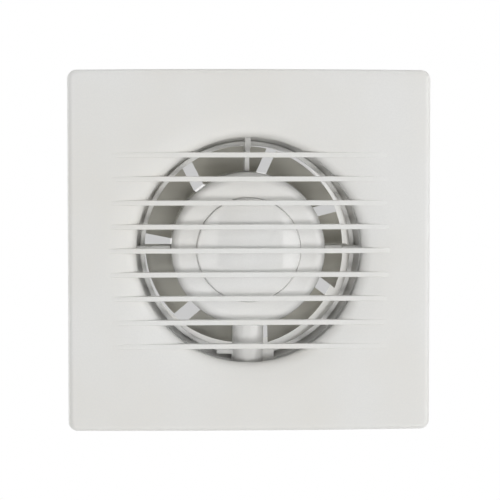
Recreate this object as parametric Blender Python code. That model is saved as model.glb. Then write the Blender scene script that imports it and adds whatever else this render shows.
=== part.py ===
"""Axial wall extractor fan for a 100 mm duct, with a square louvred front.

The front faces -Y, +Z is up and the wall plane is y = 0. The fan's axis is the world Y axis, so the
origin lies where that axis meets the wall. Everything in front of the wall has y < 0, and the duct
spigot runs into the wall towards +Y.
"""
import math

import bmesh
import bpy
from mathutils import Matrix, Vector

MM = 0.001
GAP = 0.3 * MM                      # left between pieces that touch on the real object
ROUND_SEGMENTS = 48                 # round the large turned pieces

# Front grille, a square clip-on moulding
COVER_SIZE = 158 * MM
COVER_FRONT = -22 * MM
COVER_REAR = -0.6 * MM
COVER_WALL = 2 * MM
COVER_CORNER = 4 * MM
COVER_RIM_ROUND = 2.2 * MM
OPENING_RADIUS = 49.3 * MM
DISH_RADIUS = 64 * MM
DISH_SHOULDER = 5.5 * MM             # how far outside the opening its wall starts to fall in
DISH_DROP = 1.2 * MM
LIP_FALL = 5 * MM
DISH_LIP_REAR = -15.6 * MM
BAR_COUNT = 9
BAR_PITCH = 10.43 * MM
BAR_HEIGHT = 2.2 * MM
BAR_HALF_LENGTH = 63.5 * MM
BAR_PROUD = 0.4 * MM
BAR_DEPTH = 4.4 * MM
BAR_RAMP = 5 * MM                    # slope at each end of a bar's front
TONGUE_X = 38 * MM
TONGUE_WIDTH = 12 * MM
TONGUE_THICKNESS = 1.5 * MM
TONGUE_REAR = -4 * MM

# Wall housing: plate with a rim, and the duct spigot
PLATE_SIZE = 152 * MM
PLATE_THICKNESS = 2.5 * MM
RIM_WALL = 1.6 * MM
RIM_FRONT = -9 * MM
INLET_RADIUS = 50 * MM               # the duct's mouth, wider down to its step
INLET_STEP = 6 * MM
COLLAR_RADIUS = 51.2 * MM            # round the mouth, behind the plate
COLLAR_REAR = 8 * MM
DUCT_RADIUS = 47.5 * MM
NOZZLE_RADIUS = 47.7 * MM            # ring inside the mouth, with a flat front face round its throat
NOZZLE_FRONT = 0 * MM
THROAT_RADIUS = 46.1 * MM
SPIGOT_RADIUS = 49 * MM
SPIGOT_END = 64 * MM
BEAD_PLACES = (14 * MM, 22 * MM)
BEAD_HEIGHT = 0.6 * MM
WALL_HOLE = 65 * MM
WALL_HOLE_RADIUS = 2.5 * MM
BOSS_RADIUS = 5 * MM
POST_FRONT = -7 * MM
ENTRY_X = 60 * MM
ENTRY_Z = -32 * MM
ENTRY_RADIUS = 7 * MM

# Motor pod, its cap and the wire channel below it
POD_RADIUS = 34 * MM
POD_FRONT = -13 * MM
POD_REAR = 16.7 * MM
POD_WALL = 2 * MM
POD_EDGE_ROUND = 6 * MM
CAP_RADIUS = 22.8 * MM
CAP_FRONT = -14.6 * MM
CAP_DOME = 2.4 * MM
CAP_WALL = 1.6 * MM
CAP_PLUG_REAR = -10.4 * MM
CHANNEL_HALF = 6.9 * MM
CHANNEL_FRONT = -10.2 * MM
CHANNEL_REAR = 0.6 * MM
CHANNEL_END = -50.4 * MM
CHANNEL_WALL = 1.4 * MM

# Motor bracket: rear disc, ribs and carrier ring
DISC_FRONT = 17 * MM
DISC_REAR = 19 * MM
RIB_THICKNESS = 2 * MM
RIB_FRONT = 2.5 * MM
RIB_END = 45.7 * MM
RING_INNER = 49.6 * MM
RING_RADIUS = 53 * MM
RING_FRONT = -5.3 * MM
RING_REAR = -2.8 * MM
LUG_PLACE = 56 * MM
LUG_RADIUS = 4.5 * MM
LUG_ANGLES = (45, 135, 225, 315)
STRIP_HALF = 4.6 * MM
STEP_TOP = -44.7 * MM                # the step between strip and ring, below the pod
STEP_LEDGE = -46.6 * MM
STEP_LEFT = -13.8 * MM
STEP_RIGHT = 11.5 * MM
SCREW_HOLE = 1.6 * MM

# Shaded-pole motor, with its lamination pack centred at y = MOTOR_Y
MOTOR_Y = 5 * MM
STACK = 14 * MM
CORE_HALF = 17 * MM
CORE_TOP = 16.5 * MM
CORE_BASE = -14.5 * MM
LEG_INNER = 11 * MM
LEG_END = -24.2 * MM
COIL_BAR = 5.5 * MM                  # height of the bar that carries the coil
BORE_RADIUS = 10.4 * MM
ROTOR_RADIUS = 10 * MM
SHAFT_RADIUS = 1.6 * MM
SHAFT_FRONT = -9.8 * MM
SHAFT_REAR = 35 * MM
BUSH_BORE = 1.7 * MM
BUSH_RADIUS = 3 * MM
SCREW_X = 13.7 * MM
BRACKET_SHEET = 1.2 * MM

# Impeller
TIP_RADIUS = 45.7 * MM
HUB_RADIUS = 27 * MM
BLADE_COUNT = 7
BLADE_GAP = 5.3 * MM
BLADE_FRONT = 21 * MM
BLADE_REAR = 34.5 * MM
BLADE_THICKNESS = 1.5 * MM
BLADE_BOW = 1.6 * MM
HUB_FRONT = 20.2 * MM
HUB_REAR = 36 * MM
HUB_WALL = 1.8 * MM
BOSS_END = 31 * MM
GAP_ANGLE = 23.4                    # degrees from +X to one gap, at GAP_ANGLE_RADIUS
GAP_ANGLE_RADIUS = 41.4 * MM
GAP_OFFSET = 6.5 * MM               # how far each gap's centre line passes from the axis

# Terminal block, cable clamp and leads
TERMINAL_X = (34 * MM, 50 * MM)
TERMINAL_Z = (-70 * MM, -50 * MM)
TERMINAL_FRONT = -13 * MM
POLE_Z = (-55 * MM, -65 * MM)
WIRE_WAY = 1.7 * MM
CLAMP_Z = -46 * MM
CLAMP_HALF = 11 * MM
CLAMP_SCREW_X = (ENTRY_X - 7.8 * MM, ENTRY_X + 7.8 * MM)
LEAD_RADIUS = 1 * MM

FINISHES = {                        # base colour, roughness, metallic
    "white_plastic": ((0.84, 0.84, 0.83), 0.32, 0.0),
    "gloss_plastic": ((0.86, 0.86, 0.85), 0.12, 0.0),
    "grey_plastic": ((0.52, 0.51, 0.48), 0.45, 0.0),
    "black_plastic": ((0.03, 0.03, 0.03), 0.45, 0.0),
    "rubber": ((0.05, 0.05, 0.05), 0.75, 0.0),
    "steel": ((0.56, 0.57, 0.58), 0.32, 1.0),
    "laminations": ((0.33, 0.33, 0.34), 0.5, 0.9),
    "copper": ((0.72, 0.38, 0.22), 0.35, 1.0),
    "bronze": ((0.60, 0.42, 0.24), 0.45, 1.0),
    "brass": ((0.76, 0.60, 0.30), 0.3, 1.0),
    "brown_lead": ((0.20, 0.09, 0.04), 0.5, 0.0),
    "blue_lead": ((0.05, 0.16, 0.42), 0.5, 0.0),
}


def clear_scene():
    for item in list(bpy.data.objects):
        bpy.data.objects.remove(item)


def finish_of(name, finish):
    colour, roughness, metallic = FINISHES[finish]
    material = bpy.data.materials.new(name + "_" + finish)
    material.use_nodes = True
    shader = material.node_tree.nodes["Principled BSDF"]
    shader.inputs["Base Color"].default_value = (*colour, 1)
    shader.inputs["Roughness"].default_value = roughness
    shader.inputs["Metallic"].default_value = metallic
    material.diffuse_color = (*colour, 1)
    return material


def to_object(name, shape):
    """Turn a bmesh into an object, with its faces pointing out."""
    bmesh.ops.recalc_face_normals(shape, faces=shape.faces)
    mesh = bpy.data.meshes.new(name)
    shape.to_mesh(mesh)
    shape.free()
    item = bpy.data.objects.new(name, mesh)
    bpy.context.collection.objects.link(item)
    return item


def piece(item, finish, parent=None, round_piece=True):
    """Give a finished sub-part its material, its parent and smooth shading."""
    item.data.materials.clear()
    item.data.materials.append(finish_of(item.name, finish))
    if round_piece:
        item.data.shade_smooth()
        item.data.set_sharp_from_angle(angle=math.radians(30))
    item.parent = parent
    return item


def prism(name, outline, start, end, axis="Y"):
    """Extrude an outline along a world axis. Outlines are (X, Z) along Y and (X, Y) along Z."""
    shape = bmesh.new()
    if axis == "Y":
        corners = [shape.verts.new((u, start, v)) for u, v in outline]
        offset = Vector((0, end - start, 0))
    else:
        corners = [shape.verts.new((u, v, start)) for u, v in outline]
        offset = Vector((0, 0, end - start))
    face = shape.faces.new(corners)
    grown = bmesh.ops.extrude_face_region(shape, geom=[face])
    moved = [item for item in grown["geom"] if isinstance(item, bmesh.types.BMVert)]
    bmesh.ops.translate(shape, verts=moved, vec=offset)
    return to_object(name, shape)


def block(name, low, high):
    outline = [(low[0], low[2]), (high[0], low[2]), (high[0], high[2]), (low[0], high[2])]
    return prism(name, outline, low[1], high[1])


def circle(radius, centre=(0, 0), segments=24):
    angles = [2 * math.pi * i / segments for i in range(segments)]
    return [(centre[0] + radius * math.cos(a), centre[1] + radius * math.sin(a)) for a in angles]


def arc(centre, radius, first, last, steps):
    """Points on an arc, with its angles in degrees."""
    angles = [math.radians(first + (last - first) * i / steps) for i in range(steps + 1)]
    return [(centre[0] + radius * math.cos(a), centre[1] + radius * math.sin(a)) for a in angles]


def rounded_square(size, corner, steps=4):
    reach = size / 2 - corner
    outline = []
    for quarter, (sx, sz) in enumerate([(1, 1), (-1, 1), (-1, -1), (1, -1)]):
        outline += arc((sx * reach, sz * reach), corner, 90 * quarter, 90 * quarter + 90, steps)
    return outline


def turned(name, profile, segments=48, centre=(0, 0)):
    """Spin a closed (radius, y) profile around a line parallel to Y through centre (x, z)."""
    shape = bmesh.new()
    rings = []
    for radius, y in profile:
        if radius < 1e-7:
            rings.append([shape.verts.new((0, y, 0))])
        else:
            rings.append([shape.verts.new((u, y, v)) for u, v in circle(radius, segments=segments)])
    for ring, following in zip(rings, rings[1:] + rings[:1]):
        for i in range(segments):
            j = (i + 1) % segments
            corners = [ring[i % len(ring)], ring[j % len(ring)]]
            corners += [following[j % len(following)], following[i % len(following)]]
            unique = list(dict.fromkeys(corners))
            if len(unique) > 2:
                shape.faces.new(unique)
    bmesh.ops.translate(shape, verts=shape.verts, vec=(centre[0], 0, centre[1]))
    return to_object(name, shape)


def combine(target, tool, operation):
    """Apply a Boolean of tool on target, and remove the tool."""
    modifier = target.modifiers.new("combine", "BOOLEAN")
    modifier.operation = operation
    modifier.object = tool
    depsgraph = bpy.context.evaluated_depsgraph_get()
    mesh = bpy.data.meshes.new_from_object(target.evaluated_get(depsgraph))
    target.modifiers.clear()
    target.data = mesh
    bpy.data.objects.remove(tool)


def join(target, *tools):
    for tool in tools:
        combine(target, tool, "UNION")


def cut(target, *tools):
    for tool in tools:
        combine(target, tool, "DIFFERENCE")


def drill(target, radius, x, z, low, high, segments=16):
    cut(target, prism("drill", circle(radius, (x, z), segments), low, high))


def turn_about_axis(item, degrees):
    item.data.transform(Matrix.Rotation(math.radians(degrees), 4, "Y"))
    return item


def cross_outline(x, z, reach, half):
    """Plus-shaped outline of a cross-head drive."""
    corner = [(reach, -half), (reach, half), (half, half)]
    outline = []
    for quarter in range(4):
        turn = Matrix.Rotation(math.radians(90 * quarter), 2)
        outline += [tuple(turn @ Vector(point) + Vector((x, z))) for point in corner]
    return outline


def screw(name, x, z, under_head, tip, head_radius=2.5 * MM, shank_radius=1.3 * MM, finish="steel"):
    """A cross-head screw along Y, its head towards -Y."""
    head_height = 1.6 * MM
    top = under_head - head_height
    profile = [(0, top), (head_radius * 0.75, top), (head_radius, under_head), (shank_radius, under_head)]
    profile += [(shank_radius, tip - shank_radius), (0, tip)]
    item = turned(name, profile, 10, (x, z))
    drive = cross_outline(x, z, head_radius * 0.62, head_radius * 0.13)
    cut(item, prism("drive", drive, top - GAP, top + head_height * 0.5))
    return piece(item, finish)


# The front grille

def dish_profile():
    """Front surface of the dished recess, from the flat face in to the rear of the opening's lip."""
    shoulder = OPENING_RADIUS + DISH_SHOULDER
    steps = 5
    points = []
    for i in range(steps + 1):
        share = i / steps
        sink = DISH_DROP * (1 - math.cos(share * math.pi / 2)) - 0.05 * MM
        points.append((DISH_RADIUS + (shoulder - DISH_RADIUS) * share, COVER_FRONT + sink))
    for i in range(1, steps + 1):
        turn = math.pi / 2 * i / steps
        sink = DISH_DROP + LIP_FALL * (1 - math.cos(turn))
        points.append((shoulder - DISH_SHOULDER * math.sin(turn), COVER_FRONT + sink))
    return points


def bar_outline():
    """A louvre bar in plan: its ends slope down into the flat face."""
    front = COVER_FRONT - BAR_PROUD
    half = BAR_HALF_LENGTH
    root = half - 2 * BAR_RAMP
    ends = [(half, COVER_FRONT + 0.3 * MM), (root, COVER_FRONT + BAR_DEPTH)]
    left = [(-u, v) for u, v in reversed(ends)]
    return ends + left + [(BAR_RAMP - half, front), (half - BAR_RAMP, front)]


def front_grille(slide):
    cover = prism("front_grille", rounded_square(COVER_SIZE, COVER_CORNER), COVER_FRONT, COVER_REAR)
    bevel = cover.modifiers.new("rim", "BEVEL")
    bevel.width = COVER_RIM_ROUND
    bevel.segments = 3
    bevel.limit_method = "WEIGHT"
    weights = cover.data.attributes.new("bevel_weight_edge", "FLOAT", "EDGE")
    for edge in cover.data.edges:
        ends = [cover.data.vertices[i].co.y for i in edge.vertices]
        weights.data[edge.index].value = 1.0 if max(ends) < COVER_FRONT + 1e-5 else 0.0
    depsgraph = bpy.context.evaluated_depsgraph_get()
    cover.data = bpy.data.meshes.new_from_object(cover.evaluated_get(depsgraph))
    cover.modifiers.clear()

    inner = COVER_SIZE - 2 * COVER_WALL
    back = COVER_FRONT + COVER_WALL
    hollow = prism("hollow", rounded_square(inner, COVER_CORNER - COVER_WALL), back, 1 * MM)
    front = dish_profile()
    hill = [(0, COVER_FRONT - 3 * MM), (DISH_RADIUS + 3 * MM, COVER_FRONT - 3 * MM)]
    hill += [(DISH_RADIUS + 3 * MM, back + 0.1 * MM)]
    hill += [(radius + 1.2 * MM, y + COVER_WALL) for radius, y in front[1:]
             if y + COVER_WALL < DISH_LIP_REAR - 0.4 * MM]
    hill += [(OPENING_RADIUS + 1.8 * MM, DISH_LIP_REAR), (0, DISH_LIP_REAR)]
    cut(hollow, turned("hill", hill, ROUND_SEGMENTS))
    cut(cover, hollow)
    mouth = [(0, COVER_FRONT - 4 * MM), (DISH_RADIUS, COVER_FRONT - 4 * MM)] + front
    mouth += [(OPENING_RADIUS + 0.2 * MM, 2 * MM), (0, 2 * MM)]
    cut(cover, turned("mouth", mouth, ROUND_SEGMENTS))

    for i in range(BAR_COUNT):
        z = (i - (BAR_COUNT - 1) / 2) * BAR_PITCH
        join(cover, prism("bar", bar_outline(), z - BAR_HEIGHT / 2, z + BAR_HEIGHT / 2, "Z"))
    outside = PLATE_SIZE / 2 - RIM_WALL - GAP
    for side in (-1, 1):
        for x in (-TONGUE_X, TONGUE_X):
            edges = sorted((side * outside, side * (outside - TONGUE_THICKNESS)))
            low = (x - TONGUE_WIDTH / 2, back - 0.5 * MM, edges[0])
            high = (x + TONGUE_WIDTH / 2, TONGUE_REAR, edges[1])
            join(cover, block("tongue", low, high))
    return piece(cover, "white_plastic", slide)


# The wall housing and what is fixed to it

def lug_places():
    """Where the motor bracket is screwed to the plate, as (x, z)."""
    angles = [math.radians(a) for a in LUG_ANGLES]
    return [(LUG_PLACE * math.cos(a), LUG_PLACE * math.sin(a)) for a in angles]


def spigot_profile():
    """Outline of the duct spigot as a solid bar: a collar behind the plate, and two beads."""
    profile = [(0, -1 * MM), (COLLAR_RADIUS, -1 * MM), (COLLAR_RADIUS, COLLAR_REAR - 0.6 * MM)]
    profile += [(COLLAR_RADIUS - 0.6 * MM, COLLAR_REAR), (SPIGOT_RADIUS, COLLAR_REAR)]
    for y in BEAD_PLACES:
        profile += [(SPIGOT_RADIUS, y - 1 * MM), (SPIGOT_RADIUS + BEAD_HEIGHT, y)]
        profile += [(SPIGOT_RADIUS, y + 1 * MM)]
    profile += [(SPIGOT_RADIUS, SPIGOT_END - 2 * MM), (SPIGOT_RADIUS - 0.4 * MM, SPIGOT_END), (0, SPIGOT_END)]
    return profile


def wall_housing():
    """Plate with a rim wall in front and the duct spigot behind, one moulding."""
    plate = prism("wall_housing", rounded_square(PLATE_SIZE, 3 * MM), RIM_FRONT, 0)
    inner = PLATE_SIZE - 2 * RIM_WALL
    cut(plate, prism("tray", rounded_square(inner, 1.6 * MM), RIM_FRONT - 1 * MM, -PLATE_THICKNESS))
    join(plate, turned("spigot", spigot_profile(), ROUND_SEGMENTS))
    bore = [(0, -20 * MM), (INLET_RADIUS, -20 * MM), (INLET_RADIUS, INLET_STEP)]
    bore += [(NOZZLE_RADIUS, INLET_STEP), (NOZZLE_RADIUS, NOZZLE_FRONT)]
    bore += [(THROAT_RADIUS + 0.3 * MM, NOZZLE_FRONT), (THROAT_RADIUS, NOZZLE_FRONT + 0.3 * MM)]
    bore += [(THROAT_RADIUS, INLET_STEP), (DUCT_RADIUS, INLET_STEP + 2 * MM)]
    bore += [(DUCT_RADIUS, SPIGOT_END + 2 * MM), (0, SPIGOT_END + 2 * MM)]
    cut(plate, turned("bore", bore, ROUND_SEGMENTS))
    front = RIM_FRONT - 1 * MM
    for x in (-WALL_HOLE, WALL_HOLE):
        for z in (-WALL_HOLE, WALL_HOLE):
            boss = circle(BOSS_RADIUS, (x, z), 16)
            join(plate, prism("boss", boss, -PLATE_THICKNESS - 1.5 * MM, -0.5 * MM))
            drill(plate, WALL_HOLE_RADIUS, x, z, front, 2 * MM)
    for x, z in lug_places():
        drill(plate, SCREW_HOLE, x, z, front, 2 * MM, 10)
    drill(plate, ENTRY_RADIUS, ENTRY_X, ENTRY_Z, front, 2 * MM, 24)
    for x in CLAMP_SCREW_X:
        join(plate, prism("post", circle(3 * MM, (x, CLAMP_Z), 12), POST_FRONT, -1 * MM))
        drill(plate, 1.3 * MM, x, CLAMP_Z, front, 2 * MM, 10)
    return piece(plate, "white_plastic")


def cable_grommet():
    """Rubber bush in the cable entry, with a groove over the plate's edge."""
    hole = 4 * MM
    groove = ENTRY_RADIUS - GAP
    lip = ENTRY_RADIUS + 1.8 * MM
    front = -PLATE_THICKNESS - GAP
    profile = [(hole, front - 1.6 * MM), (lip - 0.8 * MM, front - 1.6 * MM), (lip, front - 0.8 * MM)]
    profile += [(lip, front), (groove, front), (groove, -0.4 * MM), (hole, -0.4 * MM)]
    return piece(turned("cable_grommet", profile, 20, (ENTRY_X, ENTRY_Z)), "rubber")


def cable_clamp():
    """Strain-relief bar across the supply cable, bowed over it in the middle."""
    seat = POST_FRONT - GAP
    half = CLAMP_HALF
    outline = [(-half, seat), (-4.2 * MM, seat), (-3.4 * MM, seat - 2.6 * MM)]
    outline += [(3.4 * MM, seat - 2.6 * MM), (4.2 * MM, seat), (half, seat), (half, seat - 1.8 * MM)]
    outline += [(5.2 * MM, seat - 1.8 * MM), (4.4 * MM, seat - 4.4 * MM)]
    outline += [(-4.4 * MM, seat - 4.4 * MM), (-5.2 * MM, seat - 1.8 * MM), (-half, seat - 1.8 * MM)]
    outline = [(ENTRY_X + u, v) for u, v in outline]
    clamp = prism("cable_clamp", outline, CLAMP_Z - 3 * MM, CLAMP_Z + 3 * MM, "Z")
    for x in CLAMP_SCREW_X:
        drill(clamp, SCREW_HOLE, x, CLAMP_Z, -20 * MM, 0, 12)
    piece(clamp, "white_plastic")
    for number, x in enumerate(CLAMP_SCREW_X, 1):
        screw(f"clamp_screw_{number}", x, CLAMP_Z, seat - 1.8 * MM - GAP, -0.6 * MM,
              head_radius=2.2 * MM, shank_radius=1 * MM)
    return clamp


def terminal_block():
    """Two-pole block: each pole has a wire hole along X and a screw at each end."""
    low = (TERMINAL_X[0], TERMINAL_FRONT, TERMINAL_Z[0])
    high = (TERMINAL_X[1], -PLATE_THICKNESS - GAP, TERMINAL_Z[1])
    terminals = block("terminal_block", low, high)
    middle = sum(TERMINAL_X) / 2
    waist = (TERMINAL_Z[0] + TERMINAL_Z[1]) / 2
    cut(terminals, block("groove", (TERMINAL_X[0] - 1 * MM, TERMINAL_FRONT - 1 * MM, waist - 0.8 * MM),
                         (TERMINAL_X[1] + 1 * MM, TERMINAL_FRONT + 4 * MM, waist + 0.8 * MM)))
    number = 0
    for z in POLE_Z:
        way = prism("way", circle(WIRE_WAY, (0, 0), 12), TERMINAL_X[0] - 1 * MM, TERMINAL_X[1] + 1 * MM)
        way.data.transform(Matrix.Rotation(math.radians(-90), 4, "Z"))
        way.data.transform(Matrix.Translation((0, -6.8 * MM, z)))
        cut(terminals, way)
        for x in (middle - 4 * MM, middle + 4 * MM):
            drill(terminals, 2.2 * MM, x, z, TERMINAL_FRONT - 1 * MM, -7 * MM, 14)
            number += 1
            screw(f"terminal_screw_{number}", x, z, TERMINAL_FRONT + 3 * MM, -8.9 * MM,
                  head_radius=1.8 * MM, shank_radius=1.2 * MM, finish="brass")
    return piece(terminals, "black_plastic", None, False)


# The motor's carrier and covers

def bracket_rib():
    """Rib along +Z from the rear disc out through the duct's mouth, and over it to the carrier ring."""
    half = RIB_THICKNESS / 2
    rib = block("rib", (-half, RIB_FRONT, POD_RADIUS - 3 * MM), (half, DISC_REAR - 0.4 * MM, RIB_END))
    over_pod = (5 * MM, DISC_FRONT - GAP, POD_RADIUS + GAP)
    cut(rib, block("relief", (-5 * MM, -5 * MM, 0), over_pod))
    foot_front = RING_FRONT + 0.4 * MM
    foot = block("foot", (-half, foot_front, RIB_END - 3.4 * MM), (half, RIB_FRONT + 1 * MM, RIB_END))
    wide = half + 0.3 * MM
    heel = block("heel", (-wide, foot_front - 0.2 * MM, RIB_END - 1.2 * MM),
                 (wide, RING_REAR - 0.2 * MM, RING_INNER + 1 * MM))
    join(rib, foot, heel)
    return rib


def bracket_strip():
    """Hollow strip behind the wire channel, from the rear disc down to the step."""
    half = STRIP_HALF
    rear = DISC_REAR - 0.4 * MM
    under_disc = DISC_FRONT - GAP
    strip = block("strip", (-half, 1.2 * MM, -RIB_END), (half, rear, 3 * MM - POD_RADIUS))
    cut(strip, block("relief", (-9 * MM, -5 * MM, -POD_RADIUS - GAP), (9 * MM, under_disc, 0)))
    cut(strip, block("core", (1.4 * MM - half, 3 * MM, -60 * MM), (half - 1.4 * MM, under_disc, 0)))
    return strip


def carrier_ring():
    """Ring in front of the plate, with a screw lug in each quarter and the step below the pod."""
    profile = [(RING_INNER, RING_REAR), (RING_INNER, RING_FRONT)]
    profile += [(RING_RADIUS, RING_FRONT), (RING_RADIUS, RING_REAR)]
    ring = turned("ring", profile, ROUND_SEGMENTS)
    seat = -7.2 * MM
    outline = [(STEP_LEFT, STEP_TOP), (STEP_RIGHT, STEP_TOP), (STEP_RIGHT, -RING_INNER - 1.4 * MM)]
    outline += [(seat, -RING_INNER - 1.4 * MM), (seat, STEP_LEDGE), (STEP_LEFT, STEP_LEDGE)]
    join(ring, prism("step", outline, RING_FRONT + 0.6 * MM, RING_REAR - 0.3 * MM))
    for x, z in lug_places():
        lug = circle(LUG_RADIUS, (x, z), 14)
        join(ring, prism("lug", lug, RING_FRONT + 0.3 * MM, RING_REAR - 0.1 * MM))
        drill(ring, SCREW_HOLE, x, z, -9 * MM, 3 * MM, 12)
    return ring


def motor_bracket():
    """Rear disc, three ribs and a strip, which carry the motor from a ring screwed to the plate."""
    disc = [(7 * MM, DISC_FRONT), (POD_RADIUS, DISC_FRONT), (POD_RADIUS, DISC_REAR), (7 * MM, DISC_REAR)]
    bracket = turned("motor_bracket", disc, ROUND_SEGMENTS)
    for degrees in (0, 90, 180):
        join(bracket, turn_about_axis(bracket_rib(), degrees - 90))
    join(bracket, bracket_strip(), carrier_ring())
    link_low = (-4.2 * MM, RING_FRONT + 1 * MM, 0.6 * MM - RIB_END)
    link = block("link", link_low, (4.2 * MM, 3 * MM, 4 * MM - RIB_END))
    join(bracket, link)
    for x in (-SCREW_X, SCREW_X):
        join(bracket, prism("boss", circle(2.5 * MM, (x, 0), 14), 13.8 * MM, DISC_FRONT + 1 * MM))
        drill(bracket, 1.5 * MM, x, 0, 10 * MM, 22 * MM, 12)
    for number, (x, z) in enumerate(lug_places(), 1):
        screw(f"bracket_screw_{number}", x, z, RING_FRONT + 0.3 * MM - GAP, -0.5 * MM)
    return piece(bracket, "white_plastic")


def channel_outline(half, front):
    """Half-round front of the wire channel with straight flanks, as (x, y)."""
    centre = front + half
    return [(half, CHANNEL_REAR), *arc((0, centre), half, 0, -180, 10), (-half, CHANNEL_REAR)]


def pod_shell():
    """Cup over the motor with a rounded front edge, and the wire channel below it."""
    seat = CAP_RADIUS - 2 * MM
    mouth = CAP_RADIUS + 0.5 * MM
    inner = POD_RADIUS - POD_WALL
    centre = (POD_RADIUS - POD_EDGE_ROUND, POD_FRONT + POD_EDGE_ROUND)
    profile = [(mouth, POD_FRONT), *arc(centre, POD_EDGE_ROUND, -90, 0, 5)]
    profile += [(POD_RADIUS, POD_REAR), (inner, POD_REAR), (inner, POD_FRONT + POD_EDGE_ROUND)]
    profile += [(inner - 3.5 * MM, POD_FRONT + POD_WALL), (seat, POD_FRONT + POD_WALL)]
    profile += [(seat, POD_FRONT + 1 * MM), (mouth, POD_FRONT + 1 * MM)]
    shell = turned("pod_shell", profile, ROUND_SEGMENTS)
    top = 1.5 * MM - POD_RADIUS
    channel = prism("channel", channel_outline(CHANNEL_HALF, CHANNEL_FRONT), CHANNEL_END, top, "Z")
    inside = channel_outline(CHANNEL_HALF - CHANNEL_WALL, CHANNEL_FRONT + CHANNEL_WALL)
    inside = [(u, v + 1 * MM) if v >= CHANNEL_REAR - GAP else (u, v) for u, v in inside]
    passage = prism("passage", inside, CHANNEL_END - 2 * MM, 5 * MM - POD_RADIUS, "Z")
    low = (-9 * MM, RING_FRONT - GAP, CHANNEL_END - 2 * MM)
    over_ring = block("over_ring", low, (9 * MM, 3 * MM, STEP_TOP + GAP))
    join(shell, channel)
    cut(shell, passage, over_ring)
    return piece(shell, "white_plastic")


def pod_cap():
    """Slightly domed disc that plugs the pod's front."""
    steps = 3
    reach = CAP_RADIUS * 0.97
    shares = [i / steps for i in range(1, steps + 1)]
    seat = POD_FRONT + 1 * MM - GAP
    plug = CAP_RADIUS - 2.4 * MM
    hollow = plug - 1.2 * MM
    profile = [(0, CAP_FRONT - CAP_DOME)]
    profile += [(reach * share, CAP_FRONT - CAP_DOME * (1 - share ** 2)) for share in shares]
    profile += [(CAP_RADIUS, CAP_FRONT + 0.6 * MM), (CAP_RADIUS, seat), (plug, seat)]
    profile += [(plug, CAP_PLUG_REAR), (hollow, CAP_PLUG_REAR), (hollow, CAP_FRONT + CAP_WALL)]
    profile += [(0, CAP_FRONT + CAP_WALL)]
    return piece(turned("pod_cap", profile, 40), "gloss_plastic")


# The shaded-pole motor

def stack_range():
    return MOTOR_Y - STACK / 2, MOTOR_Y + STACK / 2


def stator_core():
    """C-shaped lamination pack: rotor bore above, and two legs down to the coil's bar."""
    low, high = stack_range()
    chamfer = 3 * MM
    outline = [(LEG_INNER, CORE_BASE), (LEG_INNER, LEG_END), (CORE_HALF, LEG_END)]
    outline += [(CORE_HALF, CORE_TOP - chamfer), (CORE_HALF - chamfer, CORE_TOP)]
    outline += [(-u, v) for u, v in reversed(outline)]
    core = prism("stator_core", outline, low, high)
    drill(core, BORE_RADIUS, 0, 0, low - 1 * MM, high + 1 * MM, 36)
    for x in (-SCREW_X, SCREW_X):
        drill(core, SCREW_HOLE, x, 0, low - 1 * MM, high + 1 * MM, 12)
    for side in (-1, 1):
        slot = block("slot", (10.4 * MM, low - 1 * MM, 8.6 * MM), (12.6 * MM, high + 1 * MM, 11.8 * MM))
        turn_about_axis(slot, 0 if side > 0 else 180)
        cut(core, slot)
    return piece(core, "laminations")


def coil_core():
    low, high = stack_range()
    reach = LEG_INNER - GAP
    bar = block("coil_core", (-reach, low, LEG_END), (reach, high, LEG_END + COIL_BAR))
    return piece(bar, "laminations")


def round_coil_bar(name, x_low, x_high, sides, top):
    """A block round the coil's bar, grown from it by sides below and along Y, and by top above."""
    low, high = stack_range()
    high_corner = (x_high, high + sides, LEG_END + COIL_BAR + top)
    return block(name, (x_low, low - sides, LEG_END - sides), high_corner)


def coil_bobbin():
    """Square tube round the coil's bar, with a flange at each end."""
    reach = 10.7 * MM
    flange = 1 * MM
    wall = 1.3 * MM
    spool = round_coil_bar("coil_bobbin", -reach, reach, wall, wall)
    for x in (-reach, reach - flange):
        join(spool, round_coil_bar("flange", x, x + flange, 4.4 * MM, 3.9 * MM))
    cut(spool, round_coil_bar("hole", -reach - flange, reach + flange, GAP, GAP))
    return piece(spool, "black_plastic", None, False)


def coil_winding():
    """The turns of wire as one body with rounded corners, round the bobbin's tube."""
    reach = 9.4 * MM
    winding = round_coil_bar("coil_winding", -reach, reach, 3.9 * MM, 3.3 * MM)
    bevel = winding.modifiers.new("corners", "BEVEL")
    bevel.width = 1.4 * MM
    bevel.segments = 2
    depsgraph = bpy.context.evaluated_depsgraph_get()
    winding.data = bpy.data.meshes.new_from_object(winding.evaluated_get(depsgraph))
    winding.modifiers.clear()
    cut(winding, round_coil_bar("hole", -reach - 1 * MM, reach + 1 * MM, 1.6 * MM, 1.6 * MM))
    return piece(winding, "copper")


def shading_rings():
    """A copper loop through each slot of the core and round the pole's outer edge."""
    low, high = stack_range()
    bar = 1.2 * MM
    for name, degrees in (("shading_ring_right", 0), ("shading_ring_left", 180)):
        outer = block(name, (10.8 * MM, low - bar - GAP, 9 * MM), (18.5 * MM, high + bar + GAP, 11.4 * MM))
        window = block("window", (10.8 * MM + bar, low - GAP, 5 * MM), (18.5 * MM - bar, high + GAP, 15 * MM))
        cut(outer, window)
        turn_about_axis(outer, degrees)
        piece(outer, "copper", None, False)


def rotor(axis):
    """Squirrel-cage rotor: lamination cylinder with a smaller cast ring at each end."""
    low, high = stack_range()
    bore = SHAFT_RADIUS + GAP
    ring = 8.5 * MM
    profile = [(bore, low - 1.5 * MM), (ring, low - 1.5 * MM), (ring, low), (ROTOR_RADIUS, low)]
    profile += [(ROTOR_RADIUS, high), (ring, high), (ring, high + 1.5 * MM), (bore, high + 1.5 * MM)]
    return piece(turned("rotor", profile, 32), "laminations", axis)


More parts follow.
